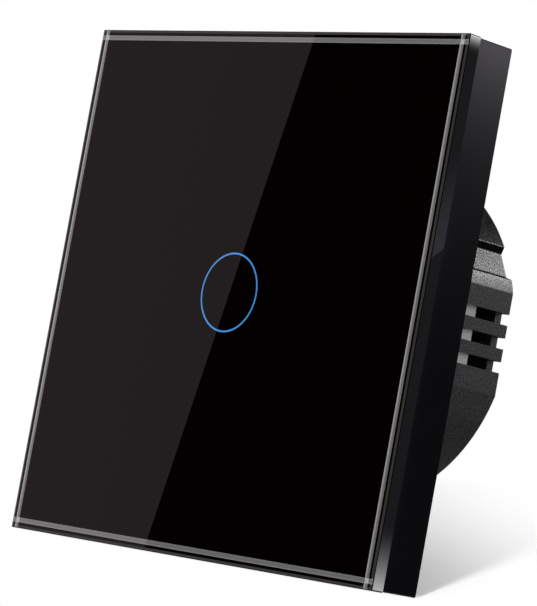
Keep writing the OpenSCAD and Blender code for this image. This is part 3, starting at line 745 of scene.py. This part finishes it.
# Ring: the lit mark to touch. Blue light from the guide fills a ring that is flush with the
# glass, so it is modelled as a thin inlay in the panel's front.
ring_glow = Finish("ring_blue")
ring_cloud = ring_glow.noise(3 * mm)
ring_sunk = 0.004 * mm
ring = ring_solid("indicator_ring", ring_w, front + ring_sunk, front + ring_t - ring_sunk)
ring.data.materials.append(ring_glow.surface({
    "Base Color": ring_glow.blend(ring_cloud, shade(8, 24, 44), shade(12, 30, 54)),
    "Roughness": 0.2 + ring_cloud * 0.1,
    "Emission Color": ring_glow.blend(ring_cloud, shade(46, 124, 197), shade(56, 141, 217)),
    "Emission Strength": 1.2,
    "Coat Weight": 1.0,
    "Coat Roughness": 0.02,
    "Coat IOR": 2.1,
}))
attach(ring, "front_panel")

# Camera: at the photograph's viewing angle and a long way off for the size of the object. It is
# rolled, because the object leans in the photograph.
cam_azimuth = 46.777
cam_elevation = -4.633
cam_roll = 10.286
cam_distance = 535.94 * mm
cam_lens = 201.2
cam_aim = Vector((9.575 * mm, front, -1.112 * mm))
camera = bpy.data.objects.new("camera", bpy.data.cameras.new("camera"))
camera.data.lens = cam_lens
camera.data.sensor_width = 36
camera.data.clip_start = 0.01
azimuth, elevation = math.radians(cam_azimuth), math.radians(cam_elevation)
back = Vector((math.sin(azimuth) * math.cos(elevation), -math.cos(azimuth) * math.cos(elevation),
               math.sin(elevation)))
camera.location = cam_aim + back * cam_distance
camera.rotation_mode = "QUATERNION"
roll = Quaternion((0, 0, 1), math.radians(cam_roll))
camera.rotation_quaternion = (-back).to_track_quat("-Z", "Y") @ roll
bpy.context.scene.collection.objects.link(camera)
bpy.context.scene.camera = camera

# World: white to the eye and in reflections, as a white studio is, and a soft even light at half
# that level on everything else.
world = bpy.data.worlds.new("studio")
world.use_nodes = True
bpy.context.scene.world = world
bpy.context.scene.view_settings.view_transform = "Standard"
sky = Graph(world.node_tree)
sky_level = 0.5


def seen_directly(graph):
    """1 for camera rays and for what mirrors and clear glass show, 0 for light on surfaces."""
    rays = [graph.node("ShaderNodeLightPath", out=name)
            for name in ("Is Camera Ray", "Is Glossy Ray", "Is Transmission Ray")]
    return (rays[0] + rays[1] + rays[2]) > 0.5


strength = seen_directly(sky) * (1 - sky_level) + sky_level
sky.node("ShaderNodeOutputWorld", None, {"Surface": sky.node(
    "ShaderNodeBackground", None, {"Color": (1, 1, 1, 1), "Strength": strength})})

# Floor: a plain pale sheet that the panel's rear foot stands on, tilted as the photograph shows it.
# It fades out all round, and seen from below it isn't there.
floor_reach = 0.6
floor_rise = 0.283
floor_lift = 0.07
floor_white = (0.93, 0.93, 0.93, 1)
floor_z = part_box("front_cover")[0].z - 0.1 * mm
floor_mesh = bpy.data.meshes.new("floor")
floor_corners = [(x * floor_reach, y * floor_reach, floor_z + y * floor_reach * floor_rise)
                 for x, y in ((-1, -1), (1, -1), (1, 1), (-1, 1))]
floor_mesh.from_pydata(floor_corners, [], [(0, 1, 2, 3)])
floor = bpy.data.objects.new("floor", floor_mesh)
bpy.context.scene.collection.objects.link(floor)
paper = Finish("pale_floor")
paper_x, paper_y, _ = paper.axes()
reach = (paper_x * paper_x + paper_y * paper_y) ** 0.5
fades = (
    paper.step(reach, 120 * mm, 500 * mm),
    paper.step(paper_y, 3 * mm, -mm),
    paper.step(paper_y + paper_x * 0.6, 24 * mm, 76 * mm),
    paper.step(paper_x, -20 * mm, -45 * mm),
    paper.node("ShaderNodeNewGeometry", out="Backfacing"),
)
gone = fades[0]
for fade in fades[1:]:
    gone = gone.math("MAXIMUM", fade)
sheet = paper.node("ShaderNodeBsdfDiffuse", None, {"Color": floor_white})
lift = paper.node("ShaderNodeEmission", None, {"Strength": seen_directly(paper) * floor_lift})
lifted = paper.node("ShaderNodeAddShader", None, {0: sheet, 1: lift})
clear = paper.node("ShaderNodeBsdfTransparent")
faded = paper.node("ShaderNodeMixShader", None, {0: gone, 1: lifted, 2: clear})
paper.node("ShaderNodeOutputMaterial", None, {"Surface": faded})
floor_mesh.materials.append(paper.material)
floor.visible_glossy = False


# Lamps: three round soft boxes at a plain level, one high in front on the right, one far out to
# the right, and one close behind on the right that lights the housing.
def soft_box(name, place, size, watts):
    """A round lamp that faces the middle of the part."""
    lamp = bpy.data.lights.new(name, "AREA")
    lamp.shape = "DISK"
    lamp.size = size
    lamp.energy = watts
    holder = bpy.data.objects.new(name, lamp)
    holder.location = place
    holder.rotation_mode = "QUATERNION"
    holder.rotation_quaternion = (-Vector(place)).to_track_quat("-Z", "Y")
    bpy.context.scene.collection.objects.link(holder)


soft_box("key_lamp", (0.33, -0.83, 0.75), size=0.15, watts=7.6)
soft_box("side_lamp", (0.96, 0.27, 0.1), size=0.3, watts=1.2)
soft_box("rear_lamp", (0.17, 0.287, 0.178), size=0.11, watts=0.8)


# Cards: grey and black boards that only reflections see, as round a product table. The front of the
# glass mirrors the grey and black cards, the cover's side the side card and the glass's side edge the
# strip card. The rear flag keeps the white surroundings out of the housing's gloss.
def mirror_card(name, axis, patch, material, times):
    """A card that the camera sees mirrored in a flat patch of corners, along an axis.

    It stands off the patch by so many times the way from the camera to the patch."""
    plane = patch[0][axis]
    eye = camera.location.copy()
    eye[axis] = 2 * plane - eye[axis]
    corners = [p + (p - eye) * times for p in map(Vector, patch)]
    mesh = bpy.data.meshes.new(name)
    mesh.from_pydata(corners, [], [tuple(range(len(corners)))])
    mesh.materials.append(material)
    card = bpy.data.objects.new(name, mesh)
    bpy.context.scene.collection.objects.link(card)
    card.visible_camera = False
    card.visible_diffuse = False
    card.visible_shadow = False


class Card(Finish):
    """The paint of a card that shines by itself."""

    def seen_at(self, axis, times):
        """Where on the panel the camera sees a point of the card, along an axis."""
        return (self.axes()[axis] + camera.location[axis] * times) / (1 + times)

    def shining(self, level, colour=(1, 1, 1, 1)):
        glow = self.node("ShaderNodeEmission", None, {"Color": colour, "Strength": level})
        self.node("ShaderNodeOutputMaterial", None, {"Surface": glow})
        return self.material


x_axis, y_axis, z_axis = range(3)
sheen_top = 9.29 * mm
sheen_foot = -8.99 * mm
lean = (sheen_top - sheen_foot) / (2 * half)
tall = 90 * mm
wide = 75 * mm
middle = (sheen_top + sheen_foot) / 2
edge_top = (middle + lean * tall, front, tall)
edge_foot = (middle - lean * tall, front, -tall)
front_times = 1.0
sheen_level = 0.29
sheen_tint = (1.0, 0.84, 0.88, 1)
mirror_card("grey_card", y_axis, [edge_foot, edge_top, (-wide, front, tall), (-wide, front, -tall)],
            Card("card_grey").shining(sheen_level, sheen_tint), front_times)
mirror_card("black_card", y_axis, [edge_foot, edge_top, (wide, front, tall), (wide, front, -tall)],
            Card("card_black").shining(0.0), front_times)

side_times = 0.15
side_start = -7 * mm
side_rise = 50 * mm
side_tint = (1.0, 0.95, 1.02, 1)
strip_level = 0.17
strip_tint = (1.04, 1.06, 1.26, 1)
patch_slope = 0.8
patch_foot = 7.9 * mm
patch_tall = 17 * mm
cover_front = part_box("front_cover")[0].y
strip_y = cover_front - 6 * mm
deep_y = 120 * mm


def side_patch(first, last):
    """The corners of a patch of the panel's right side, from one depth to another."""
    return [(half, first, -tall), (half, first, tall), (half, last, tall), (half, last, -tall)]


side_paint = Card("card_side")
side_height = side_paint.seen_at(z_axis, side_times)
up = ((side_height - side_start) / side_rise).math("MAXIMUM", 0.0).math("MINIMUM", 1.05)
behind = side_paint.step(side_paint.axes()[y_axis], 68 * mm, 80 * mm)
side_level = up ** 5.0 * 0.86 + up * 0.14 + 0.036 + behind * 0.34
mirror_card("side_card", x_axis, side_patch(cover_front, deep_y),
            side_paint.shining(side_level, side_tint), side_times)
strip_paint = Card("card_strip")
strip_height = strip_paint.seen_at(z_axis, side_times)
strip_depth = strip_paint.seen_at(y_axis, side_times) - front
above = strip_height - strip_depth * patch_slope - patch_foot
lit_patch = strip_paint.step(above, patch_tall, 0.0) * (above > 0.0)
mirror_card("strip_card", x_axis, side_patch(cover_front, strip_y),
            strip_paint.shining(strip_level + lit_patch * 0.33, strip_tint), side_times)
mirror_card("strip_flag", x_axis, side_patch(strip_y, -deep_y),
            Card("card_flag").shining(0.0), side_times)

rear_y = 0.3
rear_flag = [(x, rear_y, z) for x, z in ((-0.4, -0.6), (0.6, -0.6), (0.6, 1.2), (-0.4, 1.2))]
rear_paint = Card("card_rear")
rear_level = rear_paint.step(rear_paint.axes()[z_axis], 0.05, -0.25) * 0.19
mirror_card("rear_flag", y_axis, rear_flag, rear_paint.shining(rear_level), 0.0)
